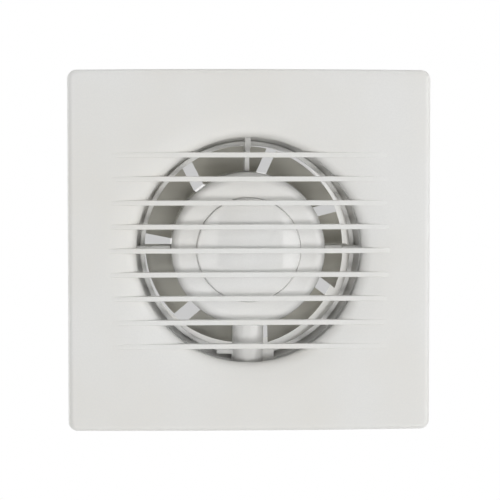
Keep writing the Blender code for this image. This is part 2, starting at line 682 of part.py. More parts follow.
def motor_shaft(axis):
    chamfer = 0.4 * MM
    profile = [(0, SHAFT_FRONT), (SHAFT_RADIUS - chamfer, SHAFT_FRONT), (SHAFT_RADIUS, SHAFT_FRONT + chamfer)]
    profile += [(SHAFT_RADIUS, SHAFT_REAR - chamfer), (SHAFT_RADIUS - chamfer, SHAFT_REAR), (0, SHAFT_REAR)]
    return piece(turned("motor_shaft", profile, 20), "steel", axis)


def thrust_washers(axis):
    low, high = stack_range()
    bore = SHAFT_RADIUS + GAP
    places = {"thrust_washer_front": low - 2.6 * MM, "thrust_washer_rear": high + 1.8 * MM}
    for name, y in places.items():
        profile = [(bore, y), (3 * MM, y), (3 * MM, y + 0.8 * MM), (bore, y + 0.8 * MM)]
        piece(turned(name, profile, 20), "grey_plastic", axis)


def bearing_bracket(name, seat, side):
    """Bent strip across one face of the stack; side is -1 at the front and 1 at the rear."""
    rise = seat + side * 3 * MM
    near = [(17 * MM, seat), (11.2 * MM, seat), (9 * MM, rise)]
    near += [(-u, v) for u, v in reversed(near)]
    far = [(u, v + side * BRACKET_SHEET) for u, v in reversed(near)]
    strip = prism(name, near + far, -4.5 * MM, 4.5 * MM, "Z")
    drill(strip, BUSH_RADIUS + GAP, 0, 0, -20 * MM, 25 * MM, 24)
    for x in (-SCREW_X, SCREW_X):
        drill(strip, SCREW_HOLE, x, 0, -20 * MM, 25 * MM, 12)
    return piece(strip, "steel", None, False)


def bush(name, seat, side):
    """Flanged sleeve bearing in the middle of a bearing bracket."""
    inside = seat + side * 2.6 * MM
    flange = seat + side * (3 * MM + BRACKET_SHEET + GAP)
    profile = [(BUSH_BORE, inside), (BUSH_RADIUS, inside), (BUSH_RADIUS, flange), (4.4 * MM, flange)]
    profile += [(4.4 * MM, flange + side * 0.9 * MM), (BUSH_RADIUS, flange + side * 0.9 * MM)]
    profile += [(BUSH_BORE, flange + side * 1.6 * MM)]
    return piece(turned(name, profile, 20), "bronze")


def bearings():
    """A bracket with its bush on each side of the stack, and the two screws through both."""
    low, high = stack_range()
    for end, face, side in (("front", low, -1), ("rear", high, 1)):
        seat = face + side * GAP
        bearing_bracket(f"{end}_bearing_bracket", seat, side)
        bush(f"{end}_bush", seat, side)
    under_head = low - BRACKET_SHEET - 2 * GAP
    for name, x in (("motor_screw_left", -SCREW_X), ("motor_screw_right", SCREW_X)):
        screw(name, x, 0, under_head, DISC_REAR - 0.5 * MM, shank_radius=1.2 * MM)


# The impeller

def gap_direction():
    """Unit vectors along and across the first gap, as (x, z)."""
    lean = math.asin(GAP_OFFSET / GAP_ANGLE_RADIUS)
    angle = math.radians(GAP_ANGLE) - lean
    return Vector((math.cos(angle), math.sin(angle))), Vector((-math.sin(angle), math.cos(angle)))


def edge_angle(radius, side):
    """Angle of a gap's edge at a radius; side is 1 for its anticlockwise edge, seen from the front."""
    along, across = gap_direction()
    offset = GAP_OFFSET + side * BLADE_GAP / 2
    reach = math.sqrt(radius ** 2 - offset ** 2)
    point = along * reach + across * offset
    return math.atan2(point.y, point.x)


def blade_sheet(side):
    """Grid of points on one face of the first blade, rows from root to tip."""
    rows = []
    pitch = 2 * math.pi / BLADE_COUNT
    row_count = 4
    column_count = 6
    for i in range(row_count):
        radius = HUB_RADIUS - 1 * MM + (TIP_RADIUS - HUB_RADIUS + 1 * MM) * i / (row_count - 1)
        first = edge_angle(radius, 1)
        last = edge_angle(radius, -1) + pitch
        row = []
        for j in range(column_count + 1):
            share = j / column_count
            angle = first + (last - first) * share
            bow = BLADE_BOW * math.sin(math.pi * share)
            y = BLADE_FRONT + (BLADE_REAR - BLADE_FRONT) * share + bow
            thickness = BLADE_THICKNESS * (0.6 + 0.4 * math.sin(math.pi * share))
            row.append((radius * math.cos(angle), y + side * thickness / 2, radius * math.sin(angle)))
        rows.append(row)
    return rows


def blade():
    shape = bmesh.new()
    faces = [[[shape.verts.new(point) for point in row] for row in blade_sheet(side)] for side in (-1, 1)]
    rows = len(faces[0])
    columns = len(faces[0][0])
    for grid in faces:
        for i in range(rows - 1):
            for j in range(columns - 1):
                shape.faces.new((grid[i][j], grid[i][j + 1], grid[i + 1][j + 1], grid[i + 1][j]))
    front, rear = faces
    for i in range(rows - 1):
        for j in (0, columns - 1):
            shape.faces.new((front[i][j], front[i + 1][j], rear[i + 1][j], rear[i][j]))
    for j in range(columns - 1):
        for i in (0, rows - 1):
            shape.faces.new((front[i][j], front[i][j + 1], rear[i][j + 1], rear[i][j]))
    return to_object("blade", shape)


def impeller(axis):
    """Cup-shaped hub with a central boss, open to the rear, and seven blades."""
    boss = 4.5 * MM
    bore = SHAFT_RADIUS + GAP
    inner = HUB_RADIUS - HUB_WALL
    floor = HUB_FRONT + HUB_WALL
    outside = [(bore, HUB_FRONT), (HUB_RADIUS - 1.5 * MM, HUB_FRONT), (HUB_RADIUS, HUB_FRONT + 1.5 * MM)]
    inside = [(HUB_RADIUS, HUB_REAR), (inner, HUB_REAR), (inner, floor + 1 * MM), (inner - 1 * MM, floor)]
    inside += [(boss, floor), (boss, BOSS_END), (bore, BOSS_END)]
    wheel = turned("impeller", outside + inside, 42)
    for i in range(BLADE_COUNT):
        join(wheel, turn_about_axis(blade(), -360 * i / BLADE_COUNT))
    return piece(wheel, "grey_plastic", axis)


def impeller_nut(axis):
    front = BOSS_END + GAP
    nut = prism("impeller_nut", circle(4 * MM, segments=6), front, front + 2.7 * MM)
    drill(nut, SHAFT_RADIUS + GAP, 0, 0, BOSS_END - 1 * MM, HUB_REAR, 24)
    return piece(nut, "brass", axis, False)


# The leads from the coil to the terminal block

def lead(name, finish, route):
    """Insulated lead along a smooth curve through the route's points."""
    curve = bpy.data.curves.new(name, "CURVE")
    curve.dimensions = "3D"
    curve.bevel_depth = LEAD_RADIUS
    curve.bevel_resolution = 2
    curve.use_fill_caps = True
    points = smooth_route([Vector(point) * MM for point in route], 3)
    spline = curve.splines.new("POLY")
    spline.points.add(len(points) - 1)
    for target, point in zip(spline.points, points):
        target.co = (*point, 1)
    item = bpy.data.objects.new(name, curve)
    bpy.context.collection.objects.link(item)
    curve.materials.append(finish_of(name, finish))
    return item


def smooth_route(points, steps):
    """Catmull-Rom curve through the points."""
    padded = [2 * points[0] - points[1]] + points + [2 * points[-1] - points[-2]]
    result = []
    for a, b, c, d in zip(padded, padded[1:], padded[2:], padded[3:]):
        for i in range(steps):
            t = i / steps
            result.append(0.5 * (2 * b + (c - a) * t + (2 * a - 5 * b + 4 * c - d) * t ** 2
                                 + (3 * b - a - 3 * c + d) * t ** 3))
    return result + [points[-1]]


def leads():
    lead("lead_live", "brown_lead", [
        (3.2, -5.2, -29.9), (2.6, -5.6, -33), (2.0, -5.8, -38), (2.0, -6.4, -44),
        (2.2, -7.0, -50), (6, -8.0, -55), (14, -7.2, -57.5), (24, -6.8, -56.2), (33.4, -6.8, -55)])
    lead("lead_neutral", "blue_lead", [
        (-3.2, -5.2, -29.9), (-2.6, -5.6, -33), (-2.0, -5.8, -38), (-2.0, -6.4, -44),
        (-1.8, -7.0, -50), (1, -8.0, -58), (9, -7.2, -64), (21, -6.8, -65.6), (33.4, -6.8, -65)])


def build():
    clear_scene()
    axis = bpy.data.objects.new("fan_axis", None)
    slide = bpy.data.objects.new("grille_slide", None)
    for empty in (axis, slide):
        bpy.context.collection.objects.link(empty)
    front_grille(slide)
    wall_housing()
    cable_grommet()
    cable_clamp()
    terminal_block()
    motor_bracket()
    pod_shell()
    pod_cap()
    stator_core()
    coil_core()
    coil_bobbin()
    coil_winding()
    shading_rings()
    rotor(axis)
    motor_shaft(axis)
    thrust_washers(axis)
    bearings()
    impeller(axis)
    impeller_nut(axis)
    leads()


build()
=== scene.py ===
"""Looks of the wall extractor fan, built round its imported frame.

The front faces -Y and +Z is up. The fan's axis is the world Y axis and the wall plane is y = 0.
"""
import math

import bmesh
import bpy
from mathutils import Matrix, Vector


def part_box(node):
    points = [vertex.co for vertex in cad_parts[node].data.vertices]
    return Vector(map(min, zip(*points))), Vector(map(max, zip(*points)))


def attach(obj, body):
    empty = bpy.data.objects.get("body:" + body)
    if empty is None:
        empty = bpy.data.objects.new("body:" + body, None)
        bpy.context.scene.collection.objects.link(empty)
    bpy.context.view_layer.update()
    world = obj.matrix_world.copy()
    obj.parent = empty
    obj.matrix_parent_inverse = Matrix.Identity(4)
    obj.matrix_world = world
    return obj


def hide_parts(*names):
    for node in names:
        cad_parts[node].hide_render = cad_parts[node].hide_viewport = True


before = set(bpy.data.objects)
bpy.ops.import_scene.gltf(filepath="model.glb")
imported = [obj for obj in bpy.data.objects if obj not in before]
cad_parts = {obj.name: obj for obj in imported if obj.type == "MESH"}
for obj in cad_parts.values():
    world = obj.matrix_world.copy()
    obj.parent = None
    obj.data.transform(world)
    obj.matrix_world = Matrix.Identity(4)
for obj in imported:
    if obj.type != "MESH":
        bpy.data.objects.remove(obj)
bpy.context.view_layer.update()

MM = 0.001
FINE = 192                          # segments round the large turned pieces
ROUND = 64                          # segments round the small ones


# Shapes

def shade(item, sharp_angle):
    """Shade a piece smooth, apart from edges sharper than the angle in degrees."""
    item.data.shade_smooth()
    item.data.set_sharp_from_angle(angle=math.radians(sharp_angle))
    return item


def in_scene(name, shape):
    """Turn a bmesh into an object in the scene."""
    mesh = bpy.data.meshes.new(name)
    shape.to_mesh(mesh)
    shape.free()
    item = bpy.data.objects.new(name, mesh)
    bpy.context.scene.collection.objects.link(item)
    return item


def to_object(name, shape, sharp_angle=32):
    """Turn a bmesh into a smooth-shaded object with its faces pointing out."""
    bmesh.ops.recalc_face_normals(shape, faces=shape.faces)
    return shade(in_scene(name, shape), sharp_angle)


def loft(rings, closed=False, capped=True):
    """A bmesh skin over rings of equally many points. A closed loft joins its last ring to its first."""
    shape = bmesh.new()
    rows = [[shape.verts.new(point) for point in ring] for ring in rings]
    pairs = list(zip(rows, rows[1:]))
    if closed:
        pairs.append((rows[-1], rows[0]))
    for row, following in pairs:
        for i in range(len(row)):
            j = (i + 1) % len(row)
            shape.faces.new((row[i], row[j], following[j], following[i]))
    if capped and not closed:
        shape.faces.new(rows[0])
        shape.faces.new(rows[-1])
    return shape


def circle(radius, segments, centre=(0, 0)):
    angles = [2 * math.pi * i / segments for i in range(segments)]
    return [(centre[0] + radius * math.cos(a), centre[1] + radius * math.sin(a)) for a in angles]


def arc(centre, radius, first, last, steps):
    """Points on an arc, with its angles in degrees."""
    angles = [math.radians(first + (last - first) * i / steps) for i in range(steps + 1)]
    return [(centre[0] + radius * math.cos(a), centre[1] + radius * math.sin(a)) for a in angles]


def turned(name, profile, segments=FINE, centre=(0, 0)):
    """Spin a closed (radius, y) profile round the line parallel to Y through centre, given as (x, z)."""
    shape = bmesh.new()
    rings = []
    for radius, y in profile:
        if radius == 0:
            rings.append([shape.verts.new((centre[0], y, centre[1]))])
        else:
            rings.append([shape.verts.new((u, y, v)) for u, v in circle(radius, segments, centre)])
    for ring, following in zip(rings, rings[1:] + rings[:1]):
        for i in range(segments):
            j = (i + 1) % segments
            corners = [ring[i % len(ring)], ring[j % len(ring)]]
            corners += [following[j % len(following)], following[i % len(following)]]
            unique = list(dict.fromkeys(corners))
            if len(unique) > 2:
                shape.faces.new(unique)
    return to_object(name, shape)


def prism(name, outline, start, end, axis="Y"):
    """Extrude an outline: (X, Z) points along Y, or (X, Y) points along Z."""
    if axis == "Y":
        rings = [[(u, at, v) for u, v in outline] for at in (start, end)]
    else:
        rings = [[(u, v, at) for u, v in outline] for at in (start, end)]
    return to_object(name, loft(rings))


def block(name, low, high):
    outline = [(low[0], low[2]), (high[0], low[2]), (high[0], high[2]), (low[0], high[2])]
    return prism(name, outline, low[1], high[1])


def bake_modifiers(item):
    """Replace a piece's mesh by what its modifiers make of it."""
    depsgraph = bpy.context.evaluated_depsgraph_get()
    mesh = bpy.data.meshes.new_from_object(item.evaluated_get(depsgraph))
    item.modifiers.clear()
    item.data = mesh
    return item


def combine(target, tool, operation):
    """Apply a Boolean of tool on target, and remove the tool."""
    modifier = target.modifiers.new("combine", "BOOLEAN")
    modifier.operation = operation
    modifier.object = tool
    bake_modifiers(target)
    bpy.data.objects.remove(tool)
    return target


def join(target, *tools):
    for tool in tools:
        combine(target, tool, "UNION")
    return target


def cut(target, *tools):
    for tool in tools:
        combine(target, tool, "DIFFERENCE")
    return target


def soften(item, width, segments=3, angle=35):
    """Round the sharp edges of a piece."""
    bevel = item.modifiers.new("soften", "BEVEL")
    bevel.width = width
    bevel.segments = segments
    bevel.limit_method = "ANGLE"
    bevel.angle_limit = math.radians(angle)
    return shade(bake_modifiers(item), 50)


def drill(target, radius, centre, low, high):
    """Cut a round hole along Y through a centre given as (x, z)."""
    return cut(target, prism("drill", circle(radius, ROUND, centre), low, high))


def merge(name, items):
    """Join several closed meshes into one object, as the parts of one moulding."""
    shape = bmesh.new()
    for item in items:
        shape.from_mesh(item.data)
        bpy.data.objects.remove(item)
    return in_scene(name, shape)


def stand_for(item, body, material, slot, *nodes):
    """Finish a piece: its material, the body it rides on and the CAD nodes it stands for."""
    item.data.materials.clear()
    item.data.materials.append(material)
    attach(item, body)
    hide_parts(*nodes)
    return item


# Materials

class Nodes:
    """A Principled material under construction, with short calls for the nodes it uses."""

    def __init__(self, name):
        self.material = bpy.data.materials.new(name)
        self.material.use_nodes = True
        self.tree = self.material.node_tree
        self.shader = self.tree.nodes["Principled BSDF"]
        self.place = self.add("ShaderNodeTexCoord").outputs["Object"]

    def add(self, kind, **settings):
        node = self.tree.nodes.new(kind)
        for key, value in settings.items():
            setattr(node, key, value)
        return node

    def link(self, source, target):
        self.tree.links.new(source, target)

    def noise(self, scale, detail=2.0, stretch=(1, 1, 1)):
        mapping = self.add("ShaderNodeMapping")
        mapping.inputs["Scale"].default_value = stretch
        self.link(self.place, mapping.inputs["Vector"])
        node = self.add("ShaderNodeTexNoise")
        node.inputs["Scale"].default_value = scale
        node.inputs["Detail"].default_value = detail
        self.link(mapping.outputs["Vector"], node.inputs["Vector"])
        return node.outputs["Fac"]

    def bands(self, scale, direction, distortion=0.0):
        node = self.add("ShaderNodeTexWave", wave_type="BANDS", bands_direction=direction)
        node.inputs["Scale"].default_value = scale
        node.inputs["Distortion"].default_value = distortion
        self.link(self.place, node.inputs["Vector"])
        return node.outputs["Fac"]

    def remap(self, value, low, high, start=0.3, end=0.7):
        node = self.add("ShaderNodeMapRange", interpolation_type="SMOOTHSTEP")
        node.inputs["From Min"].default_value = start
        node.inputs["From Max"].default_value = end
        node.inputs["To Min"].default_value = low
        node.inputs["To Max"].default_value = high
        self.link(value, node.inputs["Value"])
        return node.outputs["Result"]

    def blend(self, factor, first, second):
        node = self.add("ShaderNodeMix", data_type="RGBA")
        self.link(factor, node.inputs["Factor"])
        for socket, colour in ((node.inputs["A"], first), (node.inputs["B"], second)):
            if isinstance(colour, tuple):
                socket.default_value = (*colour, 1)
            else:
                self.link(colour, socket)
        return node.outputs["Result"]

    def bump(self, height, distance, strength=1.0, under=None):
        node = self.add("ShaderNodeBump")
        node.inputs["Distance"].default_value = distance
        node.inputs["Strength"].default_value = strength
        self.link(height, node.inputs["Height"])
        if under is not None:
            self.link(under, node.inputs["Normal"])
        return node.outputs["Normal"]


def shaded(colour, factor):
    return tuple(min(1.0, channel * factor) for channel in colour)


def moulded_plastic(name, colour, roughness, grain=0.035, tone=0.03, coat=0.0, warm=(1.0, 0.985, 0.955)):
    """Injection-moulded plastic: faint cloudy tone, spark-eroded grain, and smudges in its gloss."""
    nodes = Nodes(name)
    clouds = nodes.noise(14, 3)
    speckle = nodes.noise(1400, 2)
    darker = tuple(c * (1 - tone) * w for c, w in zip(colour, warm))
    base = nodes.blend(nodes.remap(clouds, 0, 1), darker, colour)
    fine = nodes.blend(nodes.remap(speckle, 0, 0.35), base, shaded(colour, 0.93))
    nodes.link(fine, nodes.shader.inputs["Base Color"])
    smudge = nodes.noise(38, 4, (1, 1, 1.7))
    nodes.link(nodes.remap(smudge, roughness * 0.92, roughness * 1.1), nodes.shader.inputs["Roughness"])
    waves = nodes.bump(nodes.noise(12, 0), 0.00035, 0.03)
    nodes.link(nodes.bump(nodes.noise(2600, 2), 0.00006, grain * 10, waves), nodes.shader.inputs["Normal"])
    nodes.shader.inputs["Coat Weight"].default_value = coat
    nodes.shader.inputs["Coat Roughness"].default_value = 0.06
    nodes.shader.inputs["IOR"].default_value = 1.5
    return nodes.material


def metal(name, colour, roughness, scale=900, stretch=(1, 1, 12), tone=0.12, pits=0.3):
    """Worked metal: drawn streaks in its tone and gloss, with a slight stain and small pits."""
    nodes = Nodes(name)
    streaks = nodes.noise(scale, 3, stretch)
    stain = nodes.noise(120, 4)
    base = nodes.blend(nodes.remap(streaks, 0, 1), shaded(colour, 1 - tone), colour)
    aged = nodes.blend(nodes.remap(stain, 0, 0.4, 0.45, 0.75), base, shaded(colour, 0.72))
    nodes.link(aged, nodes.shader.inputs["Base Color"])
    nodes.link(nodes.remap(stain, roughness * 0.8, roughness * 1.4), nodes.shader.inputs["Roughness"])
    nodes.link(nodes.bump(streaks, 0.00005, pits), nodes.shader.inputs["Normal"])
    nodes.shader.inputs["Metallic"].default_value = 1.0
    return nodes.material


def striped_metal(name, colour, roughness, direction, pitch, depth):
    """Stacked sheets or wound wire: even bands across the piece, with a dark line between them."""
    nodes = Nodes(name)
    stripes = nodes.bands(math.pi / (10 * pitch), direction)
    stain = nodes.noise(160, 4)
    base = nodes.blend(nodes.remap(stripes, 0, 1, 0.0, 0.35), shaded(colour, 0.35), colour)
    aged = nodes.blend(nodes.remap(stain, 0, 0.5, 0.45, 0.8), base, shaded(colour, 0.6))
    nodes.link(aged, nodes.shader.inputs["Base Color"])
    nodes.link(nodes.remap(stain, roughness * 0.8, roughness * 1.3), nodes.shader.inputs["Roughness"])
    nodes.link(nodes.bump(stripes, depth, 0.8), nodes.shader.inputs["Normal"])
    nodes.shader.inputs["Metallic"].default_value = 1.0
    return nodes.material


white = moulded_plastic("white_abs", (0.86, 0.86, 0.845), 0.30)
pod_white = moulded_plastic("white_abs_pod", (0.92, 0.92, 0.91), 0.22, grain=0.015, coat=0.4)
white_inner = moulded_plastic("white_abs_inner", (0.88, 0.88, 0.865), 0.55)
gloss_white = moulded_plastic("gloss_white_abs", (0.87, 0.87, 0.86), 0.06, grain=0.002, coat=1.0)
# Grey plastic. Its warm tint and part of its darkness are painted shade: the dim light inside the duct, and
# the warm light its white walls throw on the blades
grey_plastic = moulded_plastic("impeller_grey_with_painted_shade", (0.64, 0.63, 0.58), 0.42, tone=0.08)
black_plastic = moulded_plastic("black_thermoplastic", (0.035, 0.035, 0.036), 0.42, tone=0.2)
rubber = moulded_plastic("grommet_rubber", (0.035, 0.034, 0.033), 0.75, grain=0.08, tone=0.25)
brown_sleeve = moulded_plastic("brown_sleeve", (0.17, 0.075, 0.035), 0.42, grain=0.02, tone=0.1)
blue_sleeve = moulded_plastic("blue_sleeve", (0.04, 0.14, 0.40), 0.42, grain=0.02, tone=0.1)
zinc = metal("zinc_plate", (0.62, 0.62, 0.60), 0.3)
bright_steel = metal("ground_steel", (0.66, 0.66, 0.66), 0.22, stretch=(1, 14, 1))
brass = metal("brass", (0.78, 0.60, 0.28), 0.28, stretch=(1, 1, 1))
bronze = metal("sintered_bronze", (0.52, 0.36, 0.20), 0.5, scale=2600, stretch=(1, 1, 1), tone=0.3, pits=0.9)
laminations = striped_metal("laminations", (0.36, 0.36, 0.37), 0.45, "Y", 0.5 * MM, 0.00006)
enamelled_wire = striped_metal("enamelled_wire", (0.72, 0.34, 0.16), 0.3, "X", 0.32 * MM, 0.0001)
copper = metal("copper_bar", (0.74, 0.40, 0.26), 0.35, stretch=(1, 1, 1))


# Front grille

GRILLE_LOW, GRILLE_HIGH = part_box("front_grille")
PANEL_HALF = GRILLE_HIGH.x
BAR_FRONT = GRILLE_LOW.y
PANEL_FRONT = BAR_FRONT + 0.4 * MM
PANEL_REAR = GRILLE_HIGH.y
PANEL_WALL = 2 * MM
PANEL_CORNER = 4 * MM
PANEL_ROUND = 2.6 * MM
EDGE_BOW = 0.4 * MM                  # how far the top and bottom edges bow out
OPENING = 49.3 * MM
SHOULDER = OPENING + 5.5 * MM
DISH = 64.5 * MM
DISH_DROP = 1.2 * MM
LIP_FALL = 5 * MM
LIP_REAR = PANEL_FRONT + 6.4 * MM
BAR_PITCH = 10.43 * MM
BAR_COUNT = 9
BAR_HEIGHT = 2.2 * MM
BAR_REACH = 63.5 * MM
BAR_ROUND = 0.42 * MM
BAR_RAMP = 11 * MM                   # length of each end, where the front of the bar sinks into the face
BAR_SINK = 0.75 * MM
BAR_DEPTH = 4 * MM                   # behind the face's plane, between the bar's roots
BAR_ROOT = 50 * MM                   # from here out a bar is shallower, as it lies in the face's wall
BAR_ROOT_DEPTH = 1.4 * MM
DISH_STEPS = 20
LIP_STEPS = 18
LIP_START = 0.22                     # angle in radians at which the lip leaves the dip
FACE_SHARES = (0.12, 0.3, 0.55, 0.8)  # where the face's rings lie between the dish and the edge
BACK_SHARES = (1, 0.66, 0.33, 0)
BACK_OF_DISH = slice(5, 32, 4)       # the dish's points that its back follows
TONGUE_X = 38 * MM
TONGUE_HALF = 6 * MM
TONGUE_THICKNESS = 1.5 * MM
TONGUE_GAP = 0.3 * MM                # between a tongue and the housing's rim wall


def square_directions():
    """Where each point of the outline lies for a square of half size 1: straight sides and corner arcs."""
    side_steps = 44
    corner_steps = 12
    marks = []
    for quarter in range(4):
        for i in range(side_steps):
            marks.append((quarter, -1 + 2 * (i + 0.5) / side_steps, None))
        for i in range(corner_steps + 1):
            marks.append((quarter, 1, math.pi / 2 * i / corner_steps))
    return marks


MARKS = square_directions()


def square_ring(inset):
    """Outline of the panel, inset from its edge, with rounded corners; (x, z) points."""
    half = PANEL_HALF - inset
    corner = max(PANEL_CORNER - inset, 0.5 * MM)
    reach = half - corner
    points = []
    for quarter, along, turn in MARKS:
        if turn is None:
            point = Vector((half, reach * along))
        else:
            point = Vector((reach + corner * math.cos(turn), reach + corner * math.sin(turn)))
        points.append(Matrix.Rotation(math.radians(90 * quarter), 2) @ point)
    return points


def round_ring(radius):
    """Points on a circle, in the directions of the panel's outline."""
    return [point.normalized() * radius for point in square_ring(PANEL_ROUND)]


def placed(ring, y):
    """Put a ring at its depth, with its top and bottom bowed out in the middle."""
    bow = EDGE_BOW / PANEL_HALF
    return [(point.x, y, point.y * (1 - bow * (point.x / PANEL_HALF) ** 2)) for point in ring]


def dish_front():
    """Front of the recess as (radius, y): a soft dip, a rounded shoulder and the opening's wall."""
    points = []
    for i in range(DISH_STEPS):
        share = i / DISH_STEPS
        points.append((DISH + (SHOULDER - DISH) * share, PANEL_FRONT + DISH_DROP * share ** 2))
    edge = PANEL_FRONT + DISH_DROP
    for i in range(LIP_STEPS + 1):
        turn = LIP_START + (math.pi / 2 - LIP_START) * i / LIP_STEPS
        inward = (math.sin(turn) - math.sin(LIP_START)) / (1 - math.sin(LIP_START))
        back = (math.cos(LIP_START) - math.cos(turn)) / math.cos(LIP_START)
        points.append((SHOULDER - (SHOULDER - OPENING) * inward, edge + LIP_FALL * back))
    points.append((OPENING + 0.25 * MM, LIP_REAR))
    return points


def between(inner, outer, share, y):
    """A ring at depth y that lies between two others."""
    return placed([a.lerp(b, share) for a, b in zip(inner, outer)], y)


def panel_shell():
    """Face, rim and lip of the panel as one closed skin: round its front, its edge and its hollow back."""
    rings = []
    front = dish_front()
    for radius, y in reversed(front):
        rings.append(placed(round_ring(radius), y))
    for share in FACE_SHARES:
        rings.append(between(round_ring(DISH), square_ring(PANEL_ROUND), share, PANEL_FRONT))
    for inset, rise in arc((PANEL_ROUND, PANEL_ROUND), PANEL_ROUND, 270, 180, 10):
        rings.append(placed(square_ring(inset), PANEL_FRONT + rise))
    for inset, y in ((0, PANEL_FRONT + 9 * MM), (0, PANEL_REAR - 0.3 * MM), (0.3 * MM, PANEL_REAR),
                     (PANEL_WALL - 0.3 * MM, PANEL_REAR), (PANEL_WALL, PANEL_REAR - 0.3 * MM),
                     (PANEL_WALL, PANEL_FRONT + PANEL_WALL + 1 * MM)):
        rings.append(placed(square_ring(inset), y))
    back = PANEL_FRONT + PANEL_WALL
    for share in BACK_SHARES:
        rings.append(between(round_ring(DISH + 1 * MM), square_ring(PANEL_WALL + 1 * MM), share, back))
    for radius, y in front[BACK_OF_DISH]:
        rings.append(placed(round_ring(radius + 1.4 * MM), y + PANEL_WALL * 0.9))
    rings.append(placed(round_ring(OPENING + 1.3 * MM), LIP_REAR))
    return to_object("panel", loft(rings, closed=True), 50)


def bar_section(x):
    """Rounded section of a louvre bar at x: its front sinks into the face at both ends."""
    ramp = max(0.0, (abs(x) - (BAR_REACH - BAR_RAMP)) / BAR_RAMP)
    front = BAR_FRONT + BAR_SINK * (1 - math.cos(ramp * math.pi / 2)) + BAR_ROUND
    rear = PANEL_FRONT + (BAR_DEPTH if abs(x) < BAR_ROOT else BAR_ROOT_DEPTH) - BAR_ROUND
    upper = BAR_HEIGHT / 2 - BAR_ROUND
    section = []
    for z, y, first in ((upper, front, 0), (-upper, front, -90), (-upper, rear, 180), (upper, rear, 90)):
        section += arc((z, y), BAR_ROUND, first, first - 90, 4)
    return [(x, y, z) for z, y in section]


def louvre_bar(z):
    ramp_steps = 8
    stations = [-BAR_REACH + BAR_RAMP * i / ramp_steps for i in range(ramp_steps + 1)]
    stations += [-BAR_ROOT - 0.2 * MM, 0.2 * MM - BAR_ROOT, -30 * MM]
    stations += [0] + [-x for x in reversed(stations)]
    bar = to_object("bar", loft([bar_section(x) for x in stations]), 60)
    bar.data.transform(Matrix.Translation((0, 0, z)))
    return bar


def front_grille():
    pieces = [panel_shell()]
    middle = (BAR_COUNT - 1) / 2
    pieces += [louvre_bar((i - middle) * BAR_PITCH) for i in range(BAR_COUNT)]
    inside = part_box("wall_housing")[1].x - RIM_WALL - TONGUE_GAP
    for side in (-1, 1):
        for x in (-TONGUE_X, TONGUE_X):
            below, above = sorted((side * inside, side * (inside - TONGUE_THICKNESS)))
            low = (x - TONGUE_HALF, PANEL_FRONT + 1.5 * MM, below)
            high = (x + TONGUE_HALF, PANEL_FRONT + 18 * MM, above)
            pieces.append(soften(block("tongue", low, high), 0.3 * MM))
    grille = merge("grille_moulding", pieces)
    return stand_for(grille, "grille", white, "white_plastic", "front_grille")


# Pod, cap and wire channel

POD_LOW, POD_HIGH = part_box("pod_shell")
CAP_LOW, CAP_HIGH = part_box("pod_cap")
POD_RADIUS = POD_HIGH.x
CAP_RADIUS = CAP_HIGH.x
POD_FRONT = POD_LOW.y
POD_ROUND = 4.6 * MM
POD_WALL = 2 * MM
CAP_GAP = 0.17 * MM                  # groove between the cap and the pod
CAP_SEAT = 2 * MM                    # how far the ledge behind the cap reaches in under its edge
CHANNEL_HALF = 6.9 * MM
CHANNEL_FRONT = -10.2 * MM
CHANNEL_REAR = 0.6 * MM
CHANNEL_WALL = 1.4 * MM
OVER_RING_HALF = 9 * MM              # recess in the channel's rear, where it crosses the duct's ring
OVER_RING_FRONT = -5.6 * MM
OVER_RING_TOP = -44.4 * MM
CAP_DOME = 2.4 * MM
CAP_RIM = 0.9 * MM
CAP_WALL = 1.6 * MM
CAP_STEPS = 24
SKIRT_INSET = 2.4 * MM               # the cap's skirt is set in from its edge, and plugs into the pod
SKIRT_WALL = 1.2 * MM


def channel_outline(half, front, rear):
    """Section of the channel as (x, y): a half round in front and straight sides behind it."""
    return [(half, rear), *arc((0, front + half), half, 0, -180, 28), (-half, rear)]


def pod_shell():
    """Cup with a softly rounded shoulder and a groove round the cap, and the wire channel below it."""
    inner = POD_RADIUS - POD_WALL
    mouth = CAP_RADIUS + CAP_GAP
    seat = CAP_RADIUS - CAP_SEAT
    seat_rear = POD_FRONT + POD_WALL
    shoulder = (POD_RADIUS - POD_ROUND, POD_FRONT + POD_ROUND)
    profile = [(mouth, POD_FRONT + 0.3 * MM), (mouth + 0.25 * MM, POD_FRONT)]
    profile += arc(shoulder, POD_ROUND, -90, 0, 16)
    profile += [(POD_RADIUS, POD_HIGH.y - 0.3 * MM), (POD_RADIUS - 0.3 * MM, POD_HIGH.y)]
    profile += [(inner, POD_HIGH.y), (inner, POD_FRONT + POD_ROUND), (inner - 3.5 * MM, seat_rear)]
    profile += [(seat, seat_rear), (seat, POD_FRONT + 1 * MM), (mouth, POD_FRONT + 1 * MM)]
    shell = turned("pod_moulding", profile)
    end = POD_LOW.z
    outside = channel_outline(CHANNEL_HALF, CHANNEL_FRONT, CHANNEL_REAR)
    inside = channel_outline(CHANNEL_HALF - CHANNEL_WALL, CHANNEL_FRONT + CHANNEL_WALL, CHANNEL_REAR + 1 * MM)
    join(shell, prism("channel", outside, end, 1.5 * MM - POD_RADIUS, "Z"))
    cut(shell, prism("passage", inside, end - 2 * MM, 5 * MM - POD_RADIUS, "Z"))
    low = (-OVER_RING_HALF, OVER_RING_FRONT, end - 2 * MM)
    cut(shell, block("over_ring", low, (OVER_RING_HALF, 3 * MM, OVER_RING_TOP)))
    shade(shell, 38)
    return stand_for(shell, "housing", pod_white, "white_plastic", "pod_shell")


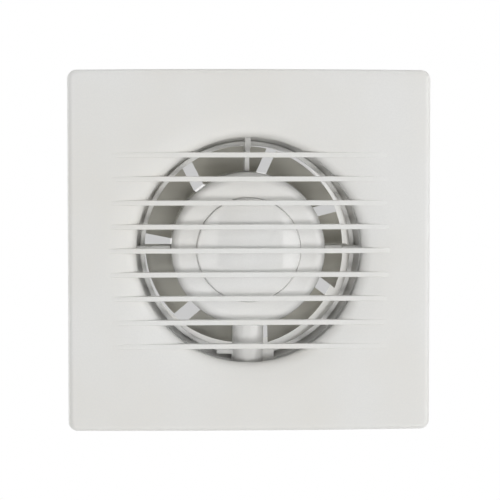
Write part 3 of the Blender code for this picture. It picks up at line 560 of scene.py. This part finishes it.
def pod_cap():
    """Domed disc with a small radius at its rim, and a skirt behind it."""
    top = CAP_LOW.y
    edge = CAP_RADIUS - CAP_RIM
    profile = [(0, top)]
    for i in range(1, CAP_STEPS + 1):
        share = i / CAP_STEPS
        profile.append((edge * share, top + CAP_DOME * share ** 2))
    profile += arc((edge, top + CAP_DOME + CAP_RIM), CAP_RIM, -85, 0, 6)
    ledge = POD_FRONT + 0.7 * MM
    skirt = CAP_RADIUS - SKIRT_INSET
    skirt_inner = skirt - SKIRT_WALL
    inside = top + CAP_DOME + CAP_WALL
    profile += [(CAP_RADIUS, ledge), (skirt, ledge), (skirt, CAP_HIGH.y), (skirt_inner, CAP_HIGH.y)]
    profile += [(skirt_inner, inside), (0, inside)]
    cap = turned("cap_disc", profile)
    return stand_for(cap, "housing", gloss_white, "gloss_white_plastic", "pod_cap")


# Impeller

WHEEL_LOW, WHEEL_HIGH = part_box("impeller")
TIP = 45.2 * MM
HUB = 27 * MM
HUB_WALL = 1.8 * MM
HUB_ROUND = 2 * MM
BOSS = 4.5 * MM
BOSS_REAR = 31 * MM
BORE = 1.9 * MM
BLADES = 7
BLADE_ROOT = 1.2 * MM                # how deep a blade's root goes into the hub
BLADE_FRONT = 21 * MM
BLADE_REAR = 34.5 * MM
BLADE_CAMBER = 1.6 * MM
BLADE_EDGE = 0.5 * MM                # thickness at the front and rear edges
BLADE_SWELL = 1.0 * MM               # and how much more there is in the middle
BLADE_ROWS = 14
BLADE_COLUMNS = 22
GAP_WIDTH = 5.3 * MM                 # between two blades, seen along the axis
GAP_OFFSET = 6.5 * MM                # by which the gap's middle line passes beside the axis
GAP_ANGLE = math.radians(23.4)       # where that line lies at the radius below
GAP_ANGLE_RADIUS = 41.4 * MM


def gap_edge(radius, side):
    """Angle of the first gap's edge at a radius: its edges are straight and pass beside the axis."""
    lean = math.asin(GAP_OFFSET / GAP_ANGLE_RADIUS)
    offset = GAP_OFFSET + side * GAP_WIDTH / 2
    return GAP_ANGLE - lean + math.asin(offset / radius)


def blade_rows(index, side):
    """Points of a blade's front (side -1) or rear (side 1) face, from the root out."""
    pitch = 2 * math.pi / BLADES
    root = HUB - BLADE_ROOT
    rows = []
    for i in range(BLADE_ROWS + 1):
        radius = root + (TIP - root) * i / BLADE_ROWS
        first = gap_edge(radius, 1) + pitch * index
        last = gap_edge(radius, -1) + pitch * (index + 1)
        row = []
        for j in range(BLADE_COLUMNS + 1):
            share = 0.5 - 0.5 * math.cos(math.pi * j / BLADE_COLUMNS)
            swell = math.sin(math.pi * share)
            middle = BLADE_FRONT + (BLADE_REAR - BLADE_FRONT) * share + BLADE_CAMBER * swell
            thickness = BLADE_EDGE + BLADE_SWELL * swell ** 0.6
            angle = first + (last - first) * share
            row.append((radius * math.cos(angle), middle + side * thickness / 2, radius * math.sin(angle)))
        rows.append(row)
    return rows


def blade(index):
    """One blade as a closed skin: its two faces, and strips that close its edges, root and tip."""
    shape = bmesh.new()
    front, rear = ([[shape.verts.new(point) for point in row] for row in blade_rows(index, side)]
                   for side in (-1, 1))
    for grid in (front, rear):
        for row, following in zip(grid, grid[1:]):
            for j in range(BLADE_COLUMNS):
                shape.faces.new((row[j], row[j + 1], following[j + 1], following[j]))
    for i in range(BLADE_ROWS):
        for j in (0, BLADE_COLUMNS):
            shape.faces.new((front[i][j], front[i + 1][j], rear[i + 1][j], rear[i][j]))
    for j in range(BLADE_COLUMNS):
        for i in (0, BLADE_ROWS):
            shape.faces.new((front[i][j], front[i][j + 1], rear[i][j + 1], rear[i][j]))
    return to_object("blade", shape)


def impeller():
    """Cup-shaped hub with a boss for the shaft, and the blades round it."""
    front = WHEEL_LOW.y
    rear = WHEEL_HIGH.y
    floor_front = front + HUB_WALL
    profile = [(BORE, front), (HUB - HUB_ROUND, front)]
    profile += arc((HUB - HUB_ROUND, front + HUB_ROUND), HUB_ROUND, -80, 0, 8)
    profile += [(HUB, rear - 0.3 * MM), (HUB - 0.3 * MM, rear), (HUB - HUB_WALL, rear)]
    profile += arc((HUB - HUB_WALL - 1.5 * MM, floor_front + 1.5 * MM), 1.5 * MM, 0, -90, 6)
    profile += [(BOSS + 1 * MM, floor_front), (BOSS, floor_front + 1 * MM)]
    profile += [(BOSS, BOSS_REAR), (BORE, BOSS_REAR)]
    wheel = turned("impeller_moulding", profile)
    for i in range(BLADES):
        join(wheel, blade(i))
    shade(wheel, 40)
    return stand_for(wheel, "impeller_shaft", grey_plastic, "grey_plastic", "impeller")


# Wall housing

PLATE_HALF = 76 * MM
PLATE_CORNER = 3 * MM
PLATE = 2.5 * MM
RIM_FRONT = -9 * MM
RIM_WALL = 1.6 * MM
SPIGOT = 49 * MM
SPIGOT_END = 64 * MM
BEADS = (14 * MM, 22 * MM)
BEAD_HEIGHT = 0.6 * MM
BEAD_HALF = 1 * MM
BEAD_STEPS = 8
COLLAR = 51.2 * MM
COLLAR_REAR = 8 * MM
COLLAR_ROUND = 0.8 * MM
COLLAR_FILLET = 0.9 * MM
MOUTH = 50 * MM                      # radius of the mouth, whose wall slopes down to the groove's floor
GROOVE_FLOOR = 4.5 * MM
NOZZLE = 47.5 * MM                   # outside of the ring in the mouth
NOZZLE_INNER = 46.3 * MM
NOZZLE_CROWN = 0.25 * MM
THROAT = 45.6 * MM                   # the narrowest place, which lets the impeller through
THROAT_REAR = 1.6 * MM
DUCT = 47.5 * MM
STEP_TO_DUCT = 6 * MM
WALL_HOLE = 65 * MM                  # from the axis to a fixing screw's hole, in x and in z
WALL_HOLE_RADIUS = 2.5 * MM
LUG_PLACE = 56 * MM * math.sqrt(0.5)  # from the axis to a bracket screw's hole, in x and in z
LUG_HOLE_RADIUS = 1.6 * MM
ENTRY = (60 * MM, -32 * MM)
ENTRY_RADIUS = 7 * MM
POSTS = ((52.2 * MM, -46 * MM), (67.8 * MM, -46 * MM))
POST_HOLE_RADIUS = 1.3 * MM


def rounded_square(half, corner):
    outline = []
    inner = half - corner
    for u, v, first in ((inner, inner, 0), (-inner, inner, 90), (-inner, -inner, 180), (inner, -inner, 270)):
        outline += arc((u, v), corner, first, first + 90, 8)
    return outline


def spigot_outside():
    """Outline of the spigot behind the plate: collar, fillet, two beads and a chamfered end."""
    profile = [(0, -1 * MM), (COLLAR, -1 * MM)]
    profile += arc((COLLAR - COLLAR_ROUND, COLLAR_REAR - COLLAR_ROUND), COLLAR_ROUND, 0, 90, 5)
    profile += arc((SPIGOT + COLLAR_FILLET, COLLAR_REAR + COLLAR_FILLET), COLLAR_FILLET, -90, -180, 5)
    for middle in BEADS:
        for i in range(BEAD_STEPS + 1):
            share = i / BEAD_STEPS
            y = middle + BEAD_HALF * (2 * share - 1)
            profile.append((SPIGOT + BEAD_HEIGHT * math.sin(math.pi * share), y))
    profile += [(SPIGOT, SPIGOT_END - 2 * MM), (SPIGOT - 0.4 * MM, SPIGOT_END - 0.3 * MM)]
    profile += [(SPIGOT - 0.7 * MM, SPIGOT_END), (0, SPIGOT_END)]
    return profile


def spigot_inside():
    """Outline of the air way: the mouth, the groove round the nozzle ring, the throat and the duct."""
    chamfer = 0.4 * MM
    before = -20 * MM
    beyond = SPIGOT_END + 2 * MM
    profile = [(0, before), (MOUTH + chamfer, before), (MOUTH + chamfer, -PLATE), (MOUTH, chamfer - PLATE)]
    profile += [(MOUTH, 0), (NOZZLE + 0.3 * MM, GROOVE_FLOOR), (NOZZLE, GROOVE_FLOOR)]
    profile += arc((NOZZLE - NOZZLE_CROWN, NOZZLE_CROWN), NOZZLE_CROWN, 0, -90, 5)
    profile += arc((THROAT + NOZZLE_CROWN, NOZZLE_CROWN), NOZZLE_CROWN, -90, -180, 5)
    profile += [(THROAT, THROAT_REAR), (NOZZLE_INNER, THROAT_REAR + 1 * MM)]
    profile += [(NOZZLE_INNER, STEP_TO_DUCT), (DUCT, STEP_TO_DUCT + 2 * MM)]
    profile += [(DUCT, SPIGOT_END - chamfer), (DUCT + chamfer, SPIGOT_END), (DUCT + chamfer, beyond)]
    profile.append((0, beyond))
    return profile


def add_pillar(plate, centre, radius, front, root, hole):
    """Stand a round boss or post on the plate, with a small chamfer and a hole down through the plate."""
    chamfer = 0.3 * MM
    profile = [(0, front), (radius - chamfer, front), (radius, front + chamfer), (radius, root), (0, root)]
    join(plate, turned("pillar", profile, ROUND, centre))
    drill_through(plate, hole, centre)


def drill_through(plate, radius, centre):
    drill(plate, radius, centre, RIM_FRONT - 1 * MM, 2 * MM)


def wall_housing():
    """Plate with a rim wall, screw bosses and the clamp's posts in front, and the spigot behind."""
    plate = prism("housing_moulding", rounded_square(PLATE_HALF, PLATE_CORNER), RIM_FRONT, 0)
    soften(plate, 0.35 * MM, angle=60)
    tray = rounded_square(PLATE_HALF - RIM_WALL, 1.6 * MM)
    cut(plate, prism("tray", tray, RIM_FRONT - 1 * MM, -PLATE))
    join(plate, turned("spigot", spigot_outside()))
    cut(plate, turned("air_way", spigot_inside()))
    for u in (-1, 1):
        for v in (-1, 1):
            centre = (u * WALL_HOLE, v * WALL_HOLE)
            add_pillar(plate, centre, 5 * MM, -4 * MM, -0.5 * MM, WALL_HOLE_RADIUS)
            drill_through(plate, LUG_HOLE_RADIUS, (u * LUG_PLACE, v * LUG_PLACE))
    drill_through(plate, ENTRY_RADIUS, ENTRY)
    for centre in POSTS:
        add_pillar(plate, centre, 3 * MM, -7 * MM, -1 * MM, POST_HOLE_RADIUS)
    shade(plate, 40)
    return stand_for(plate, "housing", white_inner, "white_plastic", "wall_housing")


# Finishes of the CAD nodes that stay

CAD_FINISHES = {
    "motor_bracket": white_inner, "cable_clamp": white_inner,
    "terminal_block": black_plastic, "coil_bobbin": black_plastic, "cable_grommet": rubber,
    "stator_core": laminations, "coil_core": laminations, "rotor": laminations,
    "coil_winding": enamelled_wire, "shading_ring_left": copper, "shading_ring_right": copper,
    "front_bearing_bracket": zinc, "rear_bearing_bracket": zinc, "front_bush": bronze, "rear_bush": bronze,
    "motor_shaft": bright_steel, "impeller_nut": brass,
    "lead_live": brown_sleeve, "lead_neutral": blue_sleeve,
    "thrust_washer_front": grey_plastic, "thrust_washer_rear": grey_plastic,
}


def finish_cad_nodes():
    """Give each CAD node that stays its material. Screws without an entry are zinc or brass."""
    for name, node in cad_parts.items():
        material = CAD_FINISHES.get(name)
        if material is None:
            material = brass if name.startswith("terminal_screw") else zinc
        node.data.materials.clear()
        node.data.materials.append(material)
        shade(node, 30)


# Studio

EYE_DISTANCE = 0.95                 # in front of the panel, in metres like the two below
EYE_LEFT = 0.048
EYE_UP = 0.053
VIEW_WIDTH = 0.2176                 # of the picture, where it cuts the middle of the panel
SOFTBOXES = {                       # place, width and height in metres, and power in watts
    "softbox_left": ((-0.66, -1.25, 0.15), (0.70, 1.1), 2.6),
    "softbox_right": ((0.80, -1.15, 0.15), (0.70, 1.1), 3.5),
    "softbox_front": ((0.0, -2.2, -0.3), (0.5, 0.4), 13.9),
    "side_left": ((-1.25, -0.6, 0.1), (0.5, 1.0), 0.8),
    "side_right": ((1.25, -0.6, 0.1), (0.5, 1.0), 4.4),
    "softbox_rear": ((0.0, 1.3, 0.1), (1.6, 1.6), 10),
    "rear_left": ((-1.3, 0.6, 0.1), (0.8, 1.0), 7),
    "rear_right": ((1.3, 0.6, 0.1), (0.8, 1.0), 4),
    "softbox_top": ((0.0, 0.0, 1.5), (2.4, 2.4), 15),
    "below": ((0.0, 0.0, -1.1), (5.0, 5.0), 29),
    "floor_wash": ((0.0, 0.0, -0.4), (10.0, 10.0), 225),
}
AMBIENT = 0.1
PAINTED_SHADOW_TONE = 0.58                       # tone of the fan's shadow painted on the backdrop straight behind its duct, seen only by the camera
PAINTED_SHADOW_EDGE = (0.047, 0.051)        # radius of that painted shadow, in radians from where it starts to fade
FLOOR_LEVEL = -1.15
FLOOR_HALF = 5.0


def softbox(name, place, size, power):
    """Area light that faces the fan, or the floor if it is the floor's wash."""
    lamp = bpy.data.lights.new(name, "AREA")
    lamp.shape = "RECTANGLE"
    lamp.size, lamp.size_y = size
    lamp.energy = power
    holder = bpy.data.objects.new(name, lamp)
    bpy.context.scene.collection.objects.link(holder)
    holder.location = place
    aim = Vector((0, 0, -1)) if name == "floor_wash" else -Vector(place)
    holder.rotation_euler = aim.to_track_quat("-Z", "Y").to_euler()
    return holder


def backdrop():
    """White surroundings with the fan's shadow painted straight behind the duct, seen only by the camera, and
    weaker as a light than as a picture.
    """
    world = bpy.data.worlds.new("studio")
    bpy.context.scene.world = world
    world.use_nodes = True
    tree = world.node_tree
    background = tree.nodes["Background"]
    direction = tree.nodes.new("ShaderNodeTexCoord")
    away = tree.nodes.new("ShaderNodeVectorMath")
    away.operation = "DISTANCE"
    duct_end = Vector((EYE_LEFT, EYE_DISTANCE - PANEL_FRONT + SPIGOT_END, -EYE_UP))
    away.inputs[1].default_value = duct_end.normalized()
    tree.links.new(direction.outputs["Generated"], away.inputs[0])
    # Painted shadow: the backdrop darkens smoothly towards the direction of the duct's far end
    shading = tree.nodes.new("ShaderNodeMapRange")
    shading.interpolation_type = "SMOOTHSTEP"
    shading.inputs["From Min"].default_value, shading.inputs["From Max"].default_value = PAINTED_SHADOW_EDGE
    shading.inputs["To Min"].default_value = PAINTED_SHADOW_TONE
    shading.inputs["To Max"].default_value = 1.0
    tree.links.new(away.outputs["Value"], shading.inputs["Value"])
    path = tree.nodes.new("ShaderNodeLightPath")
    strength = tree.nodes.new("ShaderNodeMix")
    strength.inputs["A"].default_value = AMBIENT
    tree.links.new(path.outputs["Is Camera Ray"], strength.inputs["Factor"])
    tree.links.new(shading.outputs["Result"], strength.inputs["B"])
    tree.links.new(strength.outputs["Result"], background.inputs["Strength"])
    background.inputs["Color"].default_value = (1, 1, 1, 1)


def floor():
    """Pale floor far below the fan. The light called "below" stands in for what it would throw back."""
    shape = bmesh.new()
    corners = ((-1, -1), (1, -1), (1, 1), (-1, 1))
    shape.faces.new([shape.verts.new((u * FLOOR_HALF, v * FLOOR_HALF, FLOOR_LEVEL)) for u, v in corners])
    plane = to_object("floor", shape)
    nodes = Nodes("pale_floor")
    tone = nodes.blend(nodes.noise(3, 3), (0.86, 0.86, 0.85), (0.9, 0.9, 0.9))
    nodes.link(tone, nodes.shader.inputs["Base Color"])
    nodes.shader.inputs["Roughness"].default_value = 0.8
    plane.data.materials.append(nodes.material)
    plane.visible_diffuse = False


def camera():
    """Eye in front of the panel, a little up and to the left of the fan's axis, looking at its middle."""
    view = bpy.data.cameras.new("camera")
    eye = bpy.data.objects.new("camera", view)
    bpy.context.scene.collection.objects.link(eye)
    target = Vector((0.0, PANEL_FRONT, 0.0))
    eye.location = target + Vector((-EYE_LEFT, -EYE_DISTANCE, EYE_UP))
    eye.rotation_euler = (target - eye.location).to_track_quat("-Z", "Y").to_euler()
    view.sensor_width = 36
    view.lens = view.sensor_width * (target - eye.location).length / VIEW_WIDTH
    view.clip_start = 0.05
    view.shift_x = 0.0005
    view.shift_y = 0.0018
    bpy.context.scene.camera = eye


bpy.context.scene.view_settings.view_transform = "Standard"
camera()
backdrop()
floor()
for box, (place, size, power) in SOFTBOXES.items():
    softbox(box, place, size, power).visible_glossy = box != "softbox_front"
finish_cad_nodes()
wall_housing()
front_grille()
pod_shell()
pod_cap()
impeller()
